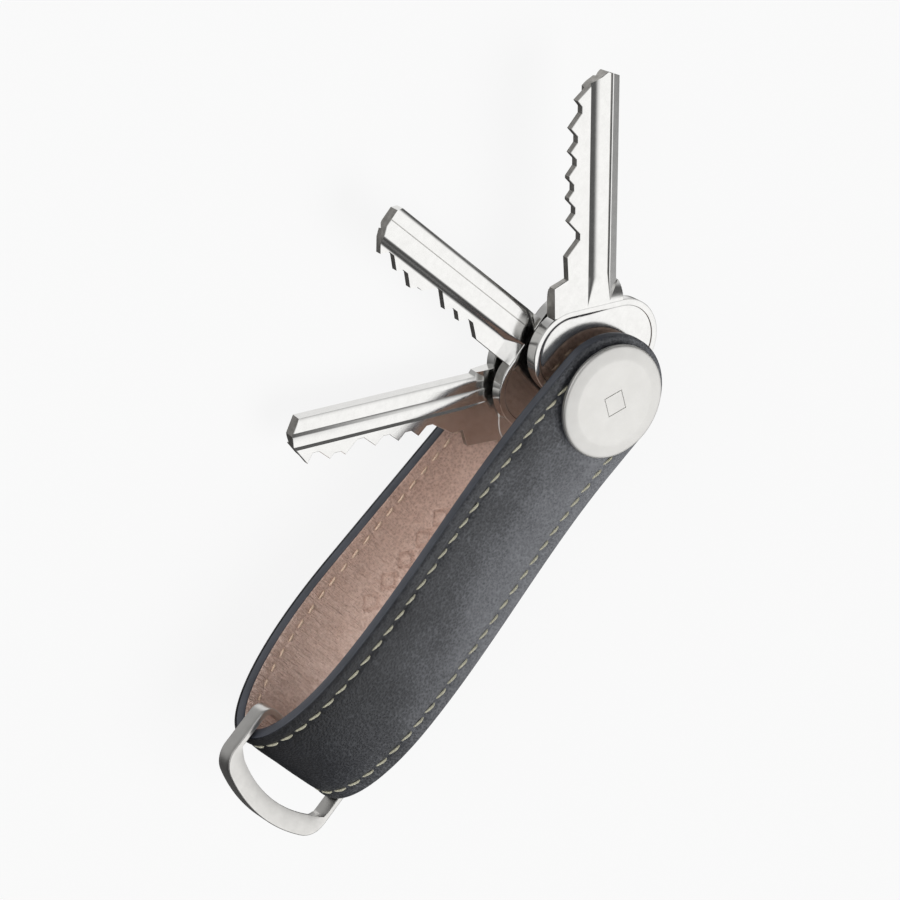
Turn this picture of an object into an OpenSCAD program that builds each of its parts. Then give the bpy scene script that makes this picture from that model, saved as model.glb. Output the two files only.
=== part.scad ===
// Leather key organiser: a strap folded into a loop, clamped by a screw post that three keys turn
// on, with a D-ring held in the fold.
// Frame: millimetres. +Z is the axis of the post, with the front cap up. The strap runs from the
// post towards -X, folds back there, and is as wide as Y. The back screw's outer face is Z = 0.

/* [Strap] */
// Width of the strap, and diameter of its round end
strap_w = 20; // [19.5:0.1:20.2]
// Thickness of the outer leather
outer_t = 0.9; // [0.8:0.05:1]
// Thickness of the reinforcement between the leathers
core_t = 0.4; // [0.3:0.05:0.4]
// Thickness of the lining leather
lining_t = 0.7; // [0.6:0.05:0.7]
// Distance between the outer faces of the two panels at the post
strap_h = 15.3; // [15.2:0.05:15.6]
// How far the fold stands behind the post's axis
fold_reach = 72.4; // [70:0.2:76]
// How far the front panel bulges above its flat part
bulge = 4.25; // [3.6:0.05:4.4]
// Height of the fold's furthest point below the flat part of the front panel
fold_drop = 4.8; // [4.4:0.1:5.2]

/* [Seam] */
// Distance from the strap's edge to the middle of the seam
seam_inset = 2.2; // [1.9:0.1:2.4]
// Width of the sewing thread
thread_w = 0.6; // [0.4:0.05:0.7]
// Depth that the thread is sunk into the leather
thread_t = 0.35; // [0.2:0.05:0.4]

/* [Caps and post] */
// Radius of the front cap and of the back screw's head
cap_r = 8.9; // [8.6:0.05:9.2]
// Radius of the flat on the cap and on the head
cap_flat_r = 6.8; // [6.4:0.1:7.2]
// Thickness of the cap and of the head
cap_t = 1.1; // [1:0.05:1.4]
// Height of the cap's straight side wall
cap_wall = 0.65; // [0.5:0.05:0.75]
// Radius of the washers under the cap and under the head
washer_r = 8.2; // [7.6:0.1:8.4]
// Thickness of those washers
washer_t = 0.5; // [0.4:0.05:0.6]
// Outer radius of the post
post_r = 2.4; // [2.2:0.05:2.6]
// Outer radius of the screw's thread
thread_r = 1.5; // [1.3:0.05:1.6]
// Pitch of the screw's thread
thread_pitch = 0.7; // [0.5:0.05:0.8]
// Length of the screw's shank
shank_l = 12; // [10:0.5:13]
// Width of the coin slot in the screw's head
slot_w = 1.8; // [1.4:0.1:2.2]
// Length of the coin slot
slot_l = 12; // [10:0.5:13]
// Depth of the coin slot
slot_d = 0.6; // [0.4:0.05:0.7]

/* [Keys] */
// Thickness of a key
key_t = 2.1; // [1.9:0.05:2.2]
// Directions that the front, middle and back keys point in, turned from +X
key_angles = [49.2, 96.5, 138.5]; // [30:0.1:150]
// Reach of each key's tip from the post's axis
key_reach = [47.5, 45.3, 47.4]; // [44:0.1:49]
// Height of each key's shoulder above its centre line, where it has one
key_shoulder = [7, 4.2, 7]; // [4.2:0.1:8]
// Half width of the blade
blade_half = 3.9; // [3.7:0.05:4.1]
// Distance from the post's axis to the widest part of the bow
bow_u = 7.3; // [6.8:0.1:7.6]
// Radius of the bow's two side lobes
lobe_r = 6.6; // [6.2:0.1:6.8]
// Distance of each lobe's centre from the key's centre line
lobe_v = 4.5; // [4.2:0.1:4.8]
// Radius of the bow's end round the hole
bow_end_r = 5.4; // [5:0.1:5.8]
// Width of the raised rim round the bow
rim_w = 1; // [0.8:0.1:1.2]
// Radial play of a key on the post
key_play = 0.05; // [0.02:0.01:0.08]

/* [D-ring] */
// Thickness of the ring's band
band_t = 0.9; // [0.8:0.05:0.9]
// Height of the ring's band
band_h = 2.8; // [2.6:0.05:2.8]
// Half width of the ring over its arms
ring_half = 11.35; // [11.35:0.05:11.6]
// Distance from the middle of the ring's bar to its outer end
ring_l = 12.55; // [12.4:0.05:13]
// Radius of the curved outer end
ring_end_r = 25; // [22:0.5:28]
// Radius of the two outer corners
ring_corner_r = 3.7; // [3.2:0.1:4.2]
// Width of the lip inside the outer end, at its middle
lip_w = 3.05; // [2.8:0.05:3.1]
// Radius of the lip's inner edge
lip_r = 20.5; // [20:0.5:21]
// How far the ring's outer end is lifted as it lies, in degrees
ring_tilt = 9.7; // [4:0.1:12]
// How far the ring is turned about Z from square to the strap
ring_yaw = -5; // [-5:0.5:0]

/* [Hidden] */
$fn = 96;

// Heights of the stack, from the back screw's outer face up
strap_t = outer_t + core_t + lining_t;
back_z = cap_t + washer_t;                 // outer face of the back panel
front_z = back_z + strap_h;                // outer face of the front panel
inner_back_z = back_z + strap_t;
inner_front_z = front_z - strap_t;
cap_z = front_z + washer_t;                // underside of the front cap

// The keys and spacers share the height between the panels
face_play = 0.05;                          // gap over each face of a key
key_count = 3;
spacer_t = (inner_front_z - inner_back_z - key_count * (key_t + 2 * face_play)) / (key_count + 1);
stack_pitch = spacer_t + key_t + 2 * face_play;
spacer_r = 5;
// Bottom of the n-th key and of the n-th spacer, counted from the back
function key_z(n) = inner_back_z + n * stack_pitch + spacer_t + face_play;
function spacer_z(n) = inner_back_z + n * stack_pitch;

eps = 0.01;
big = 200;

// Points along an arc, for outlines
function arc(c, r, from, to, steps) =
    [for (i = [0 : steps]) let(a = from + (to - from) * i / steps) c + r * [cos(a), sin(a)]];

// ---------------------------------------------------------------- strap profile

// The outer face in the XZ plane is two flat runs joined by three cubic curves
flat_end = -8;                             // where the front panel starts to rise
crest_x = -fold_reach + 17.4;              // highest point of the front panel
fold_z = front_z - fold_drop;
back_flat_x = -fold_reach + 27.4;          // where the back panel becomes flat
rise_third = (crest_x - flat_end) / 3;
curve_rise = [[flat_end, front_z], [flat_end + rise_third, front_z],
              [crest_x - rise_third, front_z + bulge], [crest_x, front_z + bulge]];
curve_top = [[crest_x, front_z + bulge], [crest_x - 9, front_z + bulge],
             [-fold_reach, fold_z + 6.3], [-fold_reach, fold_z]];
curve_under = [[-fold_reach, fold_z], [-fold_reach, fold_z - 4.6],
               [-fold_reach + 8.4, back_z], [back_flat_x, back_z]];
curve_steps = 14;

function bezier(p, t) = pow(1 - t, 3) * p[0] + 3 * t * pow(1 - t, 2) * p[1]
                      + 3 * t * t * (1 - t) * p[2] + pow(t, 3) * p[3];
function slope(p, t) = pow(1 - t, 2) * (p[1] - p[0]) + 2 * t * (1 - t) * (p[2] - p[1])
                     + t * t * (p[3] - p[2]);
// Left-hand unit normal, which points into the loop
function into_loop(d) = [-d[1], d[0]] / norm(d);
function curve_at(p, depth, first) =
    [for (i = [first : curve_steps]) let(t = i / curve_steps)
        bezier(p, t) + depth * into_loop(slope(p, t))];
// The strap's line at a depth below its outer face, from the front end to the back end
function strap_line(depth) = concat(
    [[strap_w, front_z - depth]],
    curve_at(curve_rise, depth, 0), curve_at(curve_top, depth, 1), curve_at(curve_under, depth, 1),
    [[strap_w, back_z + depth]]);
function reversed(list) = [for (i = [len(list) - 1 : -1 : 0]) list[i]];

// A layer of the strap between two depths, wider than the strap itself
module layer_sheet(top, bottom)
    rotate([90, 0, 0])
        linear_extrude(strap_w + 4, center = true)
            polygon(concat(strap_line(top), reversed(strap_line(bottom))));

// The strap seen from above, drawn in by a distance
module strap_plan(inset) {
    circle(r = strap_w / 2 - inset);
    translate([-big, -strap_w / 2 + inset]) square([big, strap_w - 2 * inset]);
}

module strap_layer(top, bottom)
    intersection() {
        layer_sheet(top, bottom);
        linear_extrude(3 * strap_h) strap_plan(0);
    }

// The sewn line follows the strap's edge along both sides and round both ends
module seam(top, bottom)
    intersection() {
        layer_sheet(top, bottom);
        linear_extrude(3 * strap_h)
            difference() {
                strap_plan(seam_inset - thread_w / 2);
                strap_plan(seam_inset + thread_w / 2);
            }
    }

// The holes through both panels, lined by the eyelets
eyelet_r = 3.6;
flange_r = 5.6;
flange_t = 0.3;
module strap_holes() {
    translate([0, 0, back_z - 1]) cylinder(r = eyelet_r, h = strap_h + 2);
    for (z = [inner_back_z - flange_t, inner_front_z - flange_t])
        translate([0, 0, z]) cylinder(r = flange_r, h = 2 * flange_t);
}

module strap_outer()
    color([0.24, 0.25, 0.28])
        difference() {
            strap_layer(0, outer_t);
            seam(-1, thread_t);
            strap_holes();
        }

module strap_core()
    color([0.16, 0.16, 0.17])
        difference() {
            strap_layer(outer_t, outer_t + core_t);
            strap_holes();
        }

module strap_lining()
    color([0.62, 0.5, 0.45])
        difference() {
            strap_layer(outer_t + core_t, strap_t);
            seam(strap_t - thread_t, strap_t + 1);
            strap_holes();
        }

module stitch_outer()
    color([0.62, 0.61, 0.5]) seam(0, thread_t);

module stitch_lining()
    color([0.7, 0.58, 0.47]) seam(strap_t - thread_t, strap_t);

// ---------------------------------------------------------------- eyelets, caps, post, screw

// Metal lining of one panel's hole, with its flange sunk in the lining leather
module eyelet(tube_z, flange_z)
    color([0.6, 0.6, 0.62])
        difference() {
            union() {
                translate([0, 0, tube_z]) cylinder(r = eyelet_r, h = strap_t);
                translate([0, 0, flange_z]) cylinder(r = flange_r, h = flange_t);
            }
            translate([0, 0, tube_z - 1]) cylinder(r = post_r, h = strap_t + 2);
        }

module front_eyelet() eyelet(inner_front_z, inner_front_z);
module back_eyelet() eyelet(back_z, inner_back_z - flange_t);

// A disc with a straight wall and a soft bevel up to its flat, standing on Z = 0
module cap_disc() {
    bevel_h = cap_t - cap_wall;
    rotate_extrude()
        polygon([[0, 0], [cap_r - 0.15, 0], [cap_r, 0.15], [cap_r, cap_wall],
                 [cap_r - 0.2, cap_wall + 0.35 * bevel_h],
                 [cap_r - 0.8, cap_wall + 0.7 * bevel_h],
                 [cap_flat_r, cap_t], [0, cap_t]]);
}

post_seat = 0.6;                           // how deep the post sits in the cap
post_foot = back_z + 0.6;                  // lower end of the post, inside the back eyelet
post_top = cap_z + post_seat;
bore_play = 0.05;

module front_cap()
    color([0.84, 0.83, 0.8])
        difference() {
            translate([0, 0, cap_z]) cap_disc();
            translate([0, 0, cap_z - 1]) cylinder(r = post_r, h = post_seat + 1);
        }

module ring_disc(outer, inner, thickness)
    difference() {
        cylinder(r = outer, h = thickness);
        translate([0, 0, -1]) cylinder(r = inner, h = thickness + 2);
    }

module front_washer()
    color([0.1, 0.1, 0.1])
        translate([0, 0, front_z]) ring_disc(washer_r, post_r, washer_t);

module back_washer()
    color([0.1, 0.1, 0.1])
        translate([0, 0, cap_t]) ring_disc(washer_r, thread_r + bore_play, washer_t);

module post()
    color([0.7, 0.7, 0.7])
        difference() {
            translate([0, 0, post_foot]) cylinder(r = post_r, h = post_top - post_foot);
            translate([0, 0, post_foot - 1])
                cylinder(r = thread_r + bore_play, h = cap_z - post_foot);
        }

// A shank with a ring groove for each turn of its thread, standing on Z = 0
module threaded_shank() {
    groove = 0.15;
    plain = 1.2;
    turns = floor((shank_l - plain - 0.6) / thread_pitch);
    rotate_extrude()
        polygon(concat(
            [[0, 0], [thread_r, 0], [thread_r, plain]],
            [for (i = [0 : turns - 1], step = [[0.5, groove], [0.9, 0]])
                [thread_r - step[1], plain + (i + step[0]) * thread_pitch]],
            [[thread_r - 0.3, shank_l], [0, shank_l]]));
}

module back_screw()
    color([0.84, 0.83, 0.8])
        difference() {
            union() {
                translate([0, 0, cap_t]) mirror([0, 0, 1]) cap_disc();
                translate([0, 0, cap_t - eps]) threaded_shank();
            }
            translate([-slot_l / 2, -slot_w / 2, -1]) cube([slot_l, slot_w, slot_d + 1]);
        }

// ---------------------------------------------------------------- spacers

module spacer(n)
    color([0.13, 0.13, 0.13])
        translate([0, 0, spacer_z(n)]) ring_disc(spacer_r, post_r, spacer_t);

module spacer_back() spacer(0);
module spacer_lower() spacer(1);
module spacer_upper() spacer(2);
module spacer_front() spacer(3);

// ---------------------------------------------------------------- keys

// The bow: two side lobes and a smaller end round the hole, drawn in by a distance. The straight
// sides between a lobe and the end touch both circles.
function bow_outline(inset) =
    let(side_r = lobe_r - inset,
        end_r = bow_end_r - inset,
        touch = atan2(lobe_v, bow_u) + acos((end_r - side_r) / norm([bow_u, lobe_v])))
    concat(
        arc([bow_u, lobe_v], side_r, 0, touch, 16),
        arc([0, 0], end_r, touch, 360 - touch, 14),
        arc([bow_u, -lobe_v], side_r, 360 - touch, 360, 16));

neck_u = 12;                               // where the blade's outline starts, inside the bow
shoulder_u = 18.2;
tip_half = 2.2;
module blade_plan(reach, shoulder)
    polygon([[neck_u, -blade_half - 0.6], [shoulder_u - 1.4, -blade_half - 0.6],
             [shoulder_u - 1.4, -blade_half], [reach - 1.4, -blade_half],
             [reach, -tip_half + 0.6], [reach - 1.2, tip_half - 1],
             [reach - 3.4, blade_half - 0.6], [reach - 3.8, blade_half + 0.3],
             [shoulder_u + 1.5, blade_half + 0.3], [shoulder_u, shoulder], [neck_u, shoulder]]);

// The bitting: six notches with sloped flanks, each as deep as its height says
first_notch = 24.2;
notch_pitch = 3.7;
notch_flat = 0.55;
flank = 0.75;                              // run of a flank for each unit of its rise
module notches(heights) {
    top = blade_half + 1;
    for (i = [0 : len(heights) - 1]) {
        u = first_notch + i * notch_pitch;
        run = notch_flat + flank * (top - heights[i]);
        polygon([[u - notch_flat, heights[i]], [u + notch_flat, heights[i]],
                 [u + run, top], [u - run, top]]);
    }
}

// Milled grooves along the blade: [low edge, high edge, depth], on the front and back faces
front_grooves = [[0.2, 1.7, 0.7], [-3, -1.8, 0.6]];
back_grooves = [[-1.5, 0, 0.7], [2.2, 3, 0.5]];
groove_u = 16.5;
module grooves() {
    for (g = front_grooves)
        translate([groove_u, g[0], key_t - g[2]]) cube([big, g[1] - g[0], key_t]);
    for (g = back_grooves)
        translate([groove_u, g[0], g[2] - key_t]) cube([big, g[1] - g[0], key_t]);
}

// One key, with the hole at the origin and the blade along +X, lying on Z = 0
rim_h = 0.12;
module key_solid(reach, shoulder, heights)
    difference() {
        union() {
            linear_extrude(key_t) polygon(bow_outline(0));
            linear_extrude(key_t)
                difference() {
                    blade_plan(reach, shoulder);
                    notches(heights);
                }
        }
        grooves();
        for (z = [-key_t, key_t - rim_h])
            translate([0, 0, z])
                linear_extrude(z < 0 ? key_t + rim_h : key_t)
                    polygon(bow_outline(rim_w));
        translate([0, 0, -1]) cylinder(r = post_r + key_play, h = key_t + 2);
    }

module placed_key(n, row, heights)
    color([0.78, 0.78, 0.78])
        translate([0, 0, key_z(row)])
            rotate([0, 0, key_angles[n]])
                key_solid(key_reach[n], key_shoulder[n], heights);

module key_front() placed_key(0, 2, [2.2, 3.1, 3.3, 2.9, 2.8, 2.1]);
module key_middle() placed_key(1, 1, [2.6, 2.7, 1.8, 3.4, 2.7, 1.9]);
module key_back() placed_key(2, 0, [2, 2.2, 1.9, 1.4, 2.6, 1.8]);

// ---------------------------------------------------------------- D-ring

bar_corner_r = 2;
bar_r = band_h / 2;                        // the bar's top and bottom are round about its axis
lip_drop = 0.6;                            // how far the lip slopes down to its inner edge
lip_edge_t = 0.45;                         // thickness of that edge
ring_at = [-fold_reach + 4.95, -0.2, fold_z + 1.1];

// Outline of the ring drawn in by a distance, with its bar along Y through the origin
function ring_outline(inset) =
    let(half = ring_half - inset,
        end_r = ring_end_r - inset,
        corner_r = ring_corner_r - inset,
        bar_r = bar_corner_r - inset,
        bar_x = band_t / 2 - inset,
        end_c = [ring_end_r - ring_l, 0],
        corner_v = half - corner_r,
        corner_u = end_c[0] - sqrt(pow(end_r - corner_r, 2) - pow(corner_v, 2)),
        meet = atan2(corner_v, corner_u - end_c[0]))
    concat(
        arc([bar_x - bar_r, half - bar_r], bar_r, 0, 90, 6),
        arc([corner_u, corner_v], corner_r, 90, meet, 8),
        arc(end_c, end_r, meet, 360 - meet, 16),
        arc([corner_u, -corner_v], corner_r, 360 - meet, 270, 8),
        arc([bar_x - bar_r, bar_r - half], bar_r, 270, 360, 6));

module ring_block(inset)
    linear_extrude(band_h, center = true) polygon(ring_outline(inset));

// The bent band. Its bar is rounded about the axis that the ring turns on.
module ring_band()
    difference() {
        ring_block(0);
        linear_extrude(band_h + 2, center = true) polygon(ring_outline(band_t));
        difference() {
            translate([-band_t, -strap_w / 2, -band_h]) cube([2 * band_t, strap_w, 2 * band_h]);
            rotate([90, 0, 0]) cylinder(r = bar_r, h = strap_w + 2, center = true);
        }
    }

// The lip inside the outer end, sloping down to a thin edge and undercut below it
module ring_lip()
    intersection() {
        ring_block(0);
        translate([lip_r + lip_w - ring_l, 0, 0])
            rotate_extrude()
                polygon([[lip_r, bar_r - lip_drop - lip_edge_t], [lip_r, bar_r - lip_drop],
                         [lip_r + lip_w, bar_r], [lip_r + 2 * lip_w, bar_r],
                         [lip_r + 2 * lip_w, -bar_r], [lip_r + lip_w - band_t, -bar_r]]);
    }

module d_ring()
    color([0.72, 0.71, 0.69])
        translate(ring_at)
            rotate([0, ring_tilt, ring_yaw]) {
                ring_band();
                ring_lip();
            }

// ---------------------------------------------------------------- the whole part

strap_outer();
strap_core();
strap_lining();
stitch_outer();
stitch_lining();
front_eyelet();
back_eyelet();
front_cap();
front_washer();
post();
back_washer();
back_screw();
spacer_front();
spacer_upper();
spacer_lower();
spacer_back();
d_ring();
key_front();
key_middle();
key_back();
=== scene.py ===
"""The look of the leather key organiser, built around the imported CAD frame.

Shapes are worked out in millimetres in the CAD frame: +Z is the post's axis with the front cap up,
the strap runs towards -X and folds back there. Meshes are scaled to metres as they are made.
"""

import math

import bmesh
import bpy
import numpy as np
from mathutils import Matrix, Vector, noise


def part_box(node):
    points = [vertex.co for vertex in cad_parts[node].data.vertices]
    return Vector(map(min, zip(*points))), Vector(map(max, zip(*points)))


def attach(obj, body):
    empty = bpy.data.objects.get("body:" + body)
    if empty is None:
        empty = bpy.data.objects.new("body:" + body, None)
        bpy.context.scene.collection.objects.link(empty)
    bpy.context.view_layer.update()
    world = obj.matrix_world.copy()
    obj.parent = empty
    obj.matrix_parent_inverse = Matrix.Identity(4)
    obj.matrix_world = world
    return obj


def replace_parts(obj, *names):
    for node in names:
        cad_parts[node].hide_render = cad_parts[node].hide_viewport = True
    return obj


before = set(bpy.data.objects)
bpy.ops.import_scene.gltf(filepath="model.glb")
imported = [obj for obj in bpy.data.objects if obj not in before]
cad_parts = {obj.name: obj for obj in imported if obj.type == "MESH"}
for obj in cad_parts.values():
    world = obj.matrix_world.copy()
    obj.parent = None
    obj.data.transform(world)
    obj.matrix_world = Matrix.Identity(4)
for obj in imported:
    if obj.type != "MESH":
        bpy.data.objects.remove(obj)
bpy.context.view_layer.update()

MM = 0.001


def box_mm(node):
    """Lowest and highest corner of a CAD node, in millimetres."""
    low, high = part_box(node)
    return np.array(low) / MM, np.array(high) / MM


# ---------------------------------------------------------------- sizes from the frame, in mm

STRAP_LOW, STRAP_HIGH = box_mm("strap_outer")
HALF_W = (STRAP_HIGH[1] - STRAP_LOW[1]) / 2
FOLD_X = STRAP_LOW[0]
BACK_Z = STRAP_LOW[2]
FRONT_Z = box_mm("front_washer")[0][2]
CREST_Z = STRAP_HIGH[2]
CAP_LOW, CAP_HIGH = box_mm("front_cap")
CAP_R = CAP_HIGH[0]

# Depths of the leathers below the strap's outer face
OUTER_T = 0.9
LINING_TOP = 1.3
STRAP_T = 2.0
HOLE_R = 3.6

# The curves of the strap's outer face in the XZ plane
FLAT_END = -8
CREST_X = FOLD_X + 17.4
FOLD_Z = FRONT_Z - 4.8
BACK_FLAT_X = FOLD_X + 27.4
CREST_HANDLE = 9
FOLD_HANDLE_UP = 6.3
FOLD_HANDLE_DOWN = 4.6
BACK_HANDLE_X = FOLD_X + 8.4

SEAM_D = 2.2
STITCH_PITCH = 2.7
THREAD_R = 0.21


# ---------------------------------------------------------------- mesh helpers

def linked_object(name, data):
    obj = bpy.data.objects.new(name, data)
    bpy.context.scene.collection.objects.link(obj)
    return obj


def make_object(name, mesh, material, body, smooth_angle):
    """Links a mesh as a piece that rides on a CAD body, with its sharper edges kept crisp."""
    obj = linked_object(name, mesh)
    mesh.materials.append(material)
    for polygon in mesh.polygons:
        polygon.use_smooth = True
    mark_sharp(mesh, smooth_angle)
    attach(obj, body)
    return obj


def mark_sharp(mesh, angle):
    """Marks edges sharper than an angle, in degrees, so that flat faces stay crisp."""
    work = bmesh.new()
    work.from_mesh(mesh)
    limit = math.radians(angle)
    for edge in work.edges:
        edge.smooth = len(edge.link_faces) == 2 and edge.calc_face_angle(0) < limit
    work.to_mesh(mesh)
    work.free()


def mesh_from(name, points, faces):
    """A mesh from points in millimetres, with its faces turned outwards."""
    mesh = bpy.data.meshes.new(name)
    mesh.from_pydata([tuple(p) for p in np.asarray(points, float) * MM], [], faces)
    work = bmesh.new()
    work.from_mesh(mesh)
    bmesh.ops.recalc_face_normals(work, faces=work.faces)
    work.to_mesh(mesh)
    work.free()
    mesh.update()
    return mesh


def bare_object(name, points, faces):
    """A linked object without a material, to cut with or to be cut."""
    return linked_object(name, mesh_from(name, points, faces))


def ring_faces(rings, count, first=0):
    """Quads between successive rings of count points each."""
    faces = []
    for r in range(rings - 1):
        for i in range(count):
            a = first + r * count + i
            b = first + r * count + (i + 1) % count
            faces.append((a, b, b + count, a + count))
    return faces


def end_faces(rings, count, first=0):
    """The two faces that close a stack of rings."""
    last = first + (rings - 1) * count
    return [tuple(range(first, first + count)), tuple(range(last, last + count))]


def smoothstep(low, high, x):
    t = np.clip((np.asarray(x, float) - low) / (high - low), 0, 1)
    return t * t * (3 - 2 * t)


def fbm(x, y, z, octaves=3):
    """Smooth noise from about -1 to 1."""
    return noise.fractal(Vector((x, y, z)), 0.6, 2.1, octaves, noise_basis="PERLIN_ORIGINAL")


# ---------------------------------------------------------------- the strap's line

def cubic(p, t):
    t = t[:, None]
    return (1 - t) ** 3 * p[0] + 3 * t * (1 - t) ** 2 * p[1] + 3 * t * t * (1 - t) * p[2] + t ** 3 * p[3]


def strap_line():
    """Points along the outer face from x = 0 on the front panel to x = 0 on the back one."""
    third = (CREST_X - FLAT_END) / 3
    curves = np.array([
        [(FLAT_END, FRONT_Z), (FLAT_END + third, FRONT_Z), (CREST_X - third, CREST_Z), (CREST_X, CREST_Z)],
        [(CREST_X, CREST_Z), (CREST_X - CREST_HANDLE, CREST_Z), (FOLD_X, FOLD_Z + FOLD_HANDLE_UP),
         (FOLD_X, FOLD_Z)],
        [(FOLD_X, FOLD_Z), (FOLD_X, FOLD_Z - FOLD_HANDLE_DOWN), (BACK_HANDLE_X, BACK_Z),
         (BACK_FLAT_X, BACK_Z)],
    ])
    t = np.linspace(0, 1, 400)
    parts = [np.column_stack([np.linspace(0, FLAT_END, 60), np.full(60, FRONT_Z)])]
    parts += [cubic(c, t)[1:] for c in curves]
    parts.append(np.column_stack([np.linspace(BACK_FLAT_X, 0, 200), np.full(200, BACK_Z)])[1:])
    return np.vstack(parts)


LINE = strap_line()
STEPS = np.hypot(*np.diff(LINE, axis=0).T)
LINE_S = np.concatenate([[0], np.cumsum(STEPS)])
LENGTH = LINE_S[-1]
DIRECTION = np.gradient(LINE, LINE_S, axis=0)
DIRECTION /= np.linalg.norm(DIRECTION, axis=1)[:, None]


def on_strap(s, y, depth):
    """Points at a run s along the strap, a place y across it, and a depth below its outer face."""
    s, y, depth = np.broadcast_arrays(*(np.asarray(v, float) for v in (s, y, depth)))
    inside = np.clip(s, 0, LENGTH)
    beyond = np.maximum(-s, 0) + np.maximum(s - LENGTH, 0)
    x = np.interp(inside, LINE_S, LINE[:, 0]) + beyond
    z = np.interp(inside, LINE_S, LINE[:, 1])
    dx = np.interp(inside, LINE_S, DIRECTION[:, 0])
    dz = np.interp(inside, LINE_S, DIRECTION[:, 1])
    return np.stack([x - depth * dz, y, z + depth * dx], -1)


FOLD_INDEX = int(np.argmin(LINE[:, 0]))


def back_run(x):
    """The run along the strap at a given x on the back panel."""
    return float(np.interp(x, LINE[FOLD_INDEX:, 0], LINE_S[FOLD_INDEX:]))


# The motif pressed into the lining: a row of small diamonds along the back panel
MOTIF_X = np.linspace(-45.6, -28.8, 5)
MOTIF_Y = -0.5
MOTIF_HALF = (1.95, 1.9)

MOTIF_GROOVE = 0.36                  # how deep the diamonds' outlines are pressed in

# The strap's rows of points, closer together at the motif
ROW_GAP = 0.42
MOTIF_ROW_GAP = 0.18
MOTIF_MARGIN = 2.5
MOTIF_RUNS = [back_run(x) for x in (MOTIF_X[0] - MOTIF_MARGIN, MOTIF_X[-1] + MOTIF_MARGIN)]
EVEN_ROWS = np.linspace(0, LENGTH, 1 + int(LENGTH / ROW_GAP))
ROWS = np.concatenate([EVEN_ROWS[EVEN_ROWS < MOTIF_RUNS[0] - 0.1], np.arange(*MOTIF_RUNS, MOTIF_ROW_GAP),
                       EVEN_ROWS[EVEN_ROWS > MOTIF_RUNS[1] + 0.1]])
ARC_STEPS = 36


def racetrack(d):
    """A closed loop at a distance d inside the strap's edge: (run, y) pairs, down the +Y side first."""
    r = HALF_W - d
    turn = np.radians(np.linspace(90, -90, ARC_STEPS + 1))[1:-1]
    runs = np.concatenate([ROWS, LENGTH + r * np.cos(turn), ROWS[::-1], -r * np.cos(turn)])
    ys = np.concatenate([np.full(len(ROWS), r), r * np.sin(turn), np.full(len(ROWS), -r), -r * np.sin(turn)])
    return runs, ys


def strap_layer(name, section, middle, relief, material):
    """One layer of the strap. section holds (distance from the edge, depth) pairs from the middle
    of one side, round the edge, to the middle of the other; middle holds the y of the columns
    between the two runs that pass the holes; relief(s, y, d, depth) gives the final depth."""
    rows, count = len(ROWS), 2 * (len(ROWS) + ARC_STEPS - 1)
    points = []
    for d, depth in section:
        s, y = racetrack(d)
        points.append(on_strap(s, y, relief(s, y, np.full(len(s), d), depth)))
    faces = ring_faces(len(section), count)
    minus = rows + ARC_STEPS - 1                         # first point of the -Y run
    front_arc = minus + rows
    total = len(section) * count
    borders = []
    for base, depth in ((0, section[0][1]), (total - count, section[-1][1])):
        columns = [np.arange(base, base + rows)]
        for y in middle:
            notch = math.sqrt(max(HOLE_R ** 2 - y * y, 0))
            near = 1 - smoothstep(0, 8, ROWS)
            far = 1 - smoothstep(0, 8, LENGTH - ROWS)
            s = ROWS + notch * near - notch * far
            edge_d = np.full(rows, HALF_W - abs(y))
            points.append(on_strap(s, y, relief(s, np.full(rows, y), edge_d, depth)))
            columns.append(np.arange(total, total + rows))
            total += rows
        columns.append(base + minus + rows - 1 - np.arange(rows))
        for a, b in zip(columns, columns[1:]):
            faces += [(a[i], a[i + 1], b[i + 1], b[i]) for i in range(rows - 1)]
        front = [c[0] for c in columns] + [base + front_arc + i for i in range(ARC_STEPS - 1)]
        back = [c[-1] for c in reversed(columns)] + [base + rows + i for i in range(ARC_STEPS - 1)]
        borders.append((front, back))
    for low, high in zip(*borders):
        n = len(low)
        faces += [(low[i], low[(i + 1) % n], high[(i + 1) % n], high[i]) for i in range(n)]
    mesh = mesh_from(name, np.vstack([p.reshape(-1, 3) for p in points]), faces)
    return make_object(name, mesh, material, "strap", smooth_angle=60)


# ---------------------------------------------------------------- materials

def add_node(tree, kind, inputs=None, **settings):
    """A shader node with its settings made, and its inputs linked to a socket or given a value."""
    node = tree.nodes.new(kind)
    for key, value in settings.items():
        setattr(node, key, value)
    for key, value in (inputs or {}).items():
        if isinstance(value, bpy.types.NodeSocket):
            tree.links.new(value, node.inputs[key])
        else:
            node.inputs[key].default_value = value
    return node


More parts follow.
